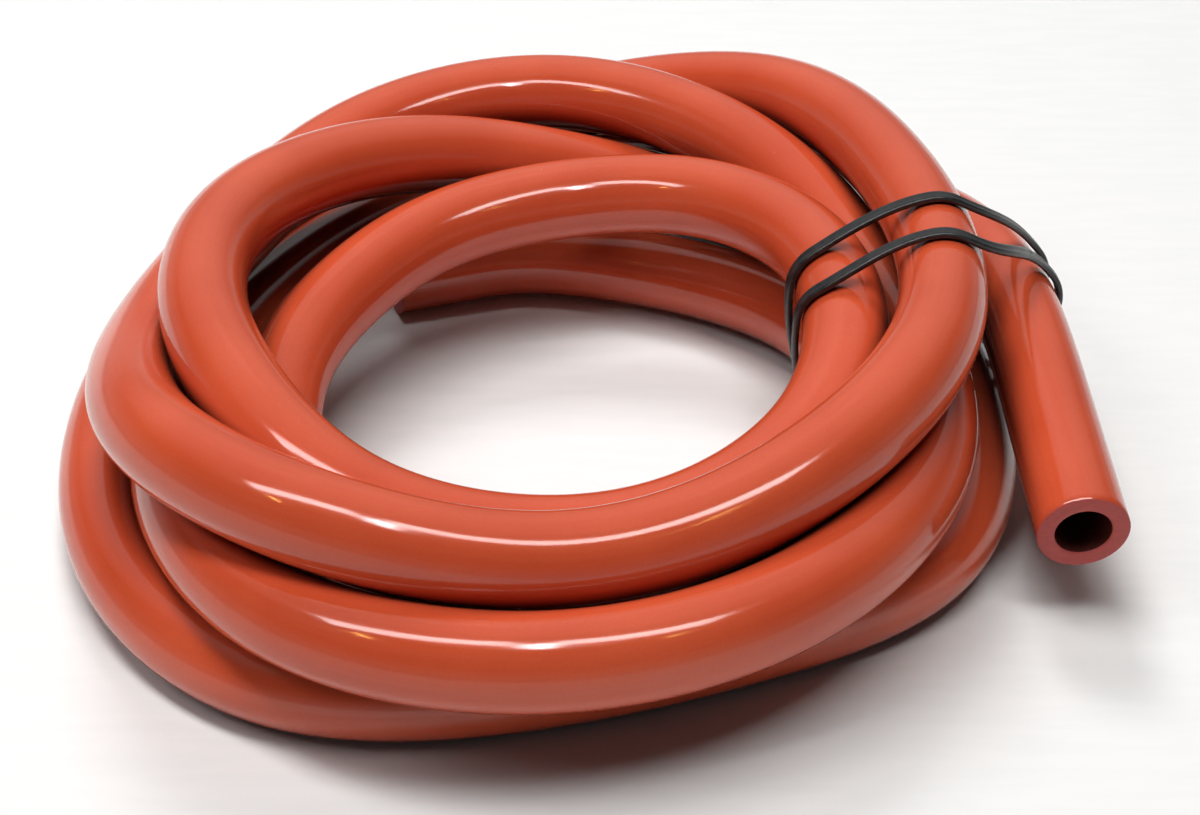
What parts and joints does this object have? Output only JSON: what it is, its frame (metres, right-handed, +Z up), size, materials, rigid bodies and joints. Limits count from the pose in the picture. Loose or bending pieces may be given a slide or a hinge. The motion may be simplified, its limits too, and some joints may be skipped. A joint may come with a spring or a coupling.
{
  "type": "rubber gas tubing",
  "caption": "Smooth red rubber gas tubing in a loose hand-wound coil held by a black wire tie; the open bore of its free end pushes on to a hose nozzle.",
  "frame": {"origin": "on the floor under the middle of the coil's box", "axes": "+Z up out of the coil's opening, the free end points to -Y, the tie is on the +X side"},
  "size_m": [0.1558, 0.1664, 0.0414],
  "materials": {
    "red_rubber": "gloss",
    "black_tie": "satin"
  },
  "bodies": {
    "root": {"tube": "red_rubber", "tie": "black_tie"}
  },
  "joints": []
}
